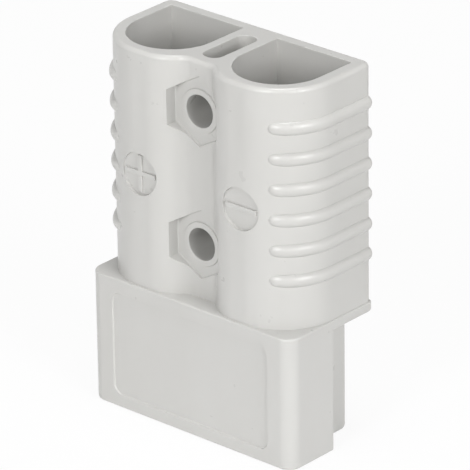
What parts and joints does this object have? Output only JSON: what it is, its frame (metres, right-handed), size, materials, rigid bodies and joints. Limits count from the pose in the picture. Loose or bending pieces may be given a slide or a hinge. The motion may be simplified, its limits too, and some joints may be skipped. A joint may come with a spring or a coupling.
{
  "type": "genderless power connector",
  "caption": "Genderless power connector with a lobed moulded housing, hood and tongue, grip ribs, bolt holes in nut recesses, and silver-plated contacts on leaf springs.",
  "frame": {"origin": "middle of the connector's width and thickness, at the mating face that it stands on", "axes": "+X across the poles from the positive to the negative one, +Y from the hooded front to the flat back, +Z from the mating face to the cable end"},
  "size_m": [0.0538, 0.0252, 0.079],
  "materials": {
    "housing": "semi-gloss moulded, light warm grey",
    "contact": "silver plate",
    "spring": "rolled stainless strip"
  },
  "bodies": {
    "root": {"housing": "housing", "positive_contact": "contact", "negative_contact": "contact", "positive_spring": "spring", "negative_spring": "spring"}
  },
  "joints": []
}
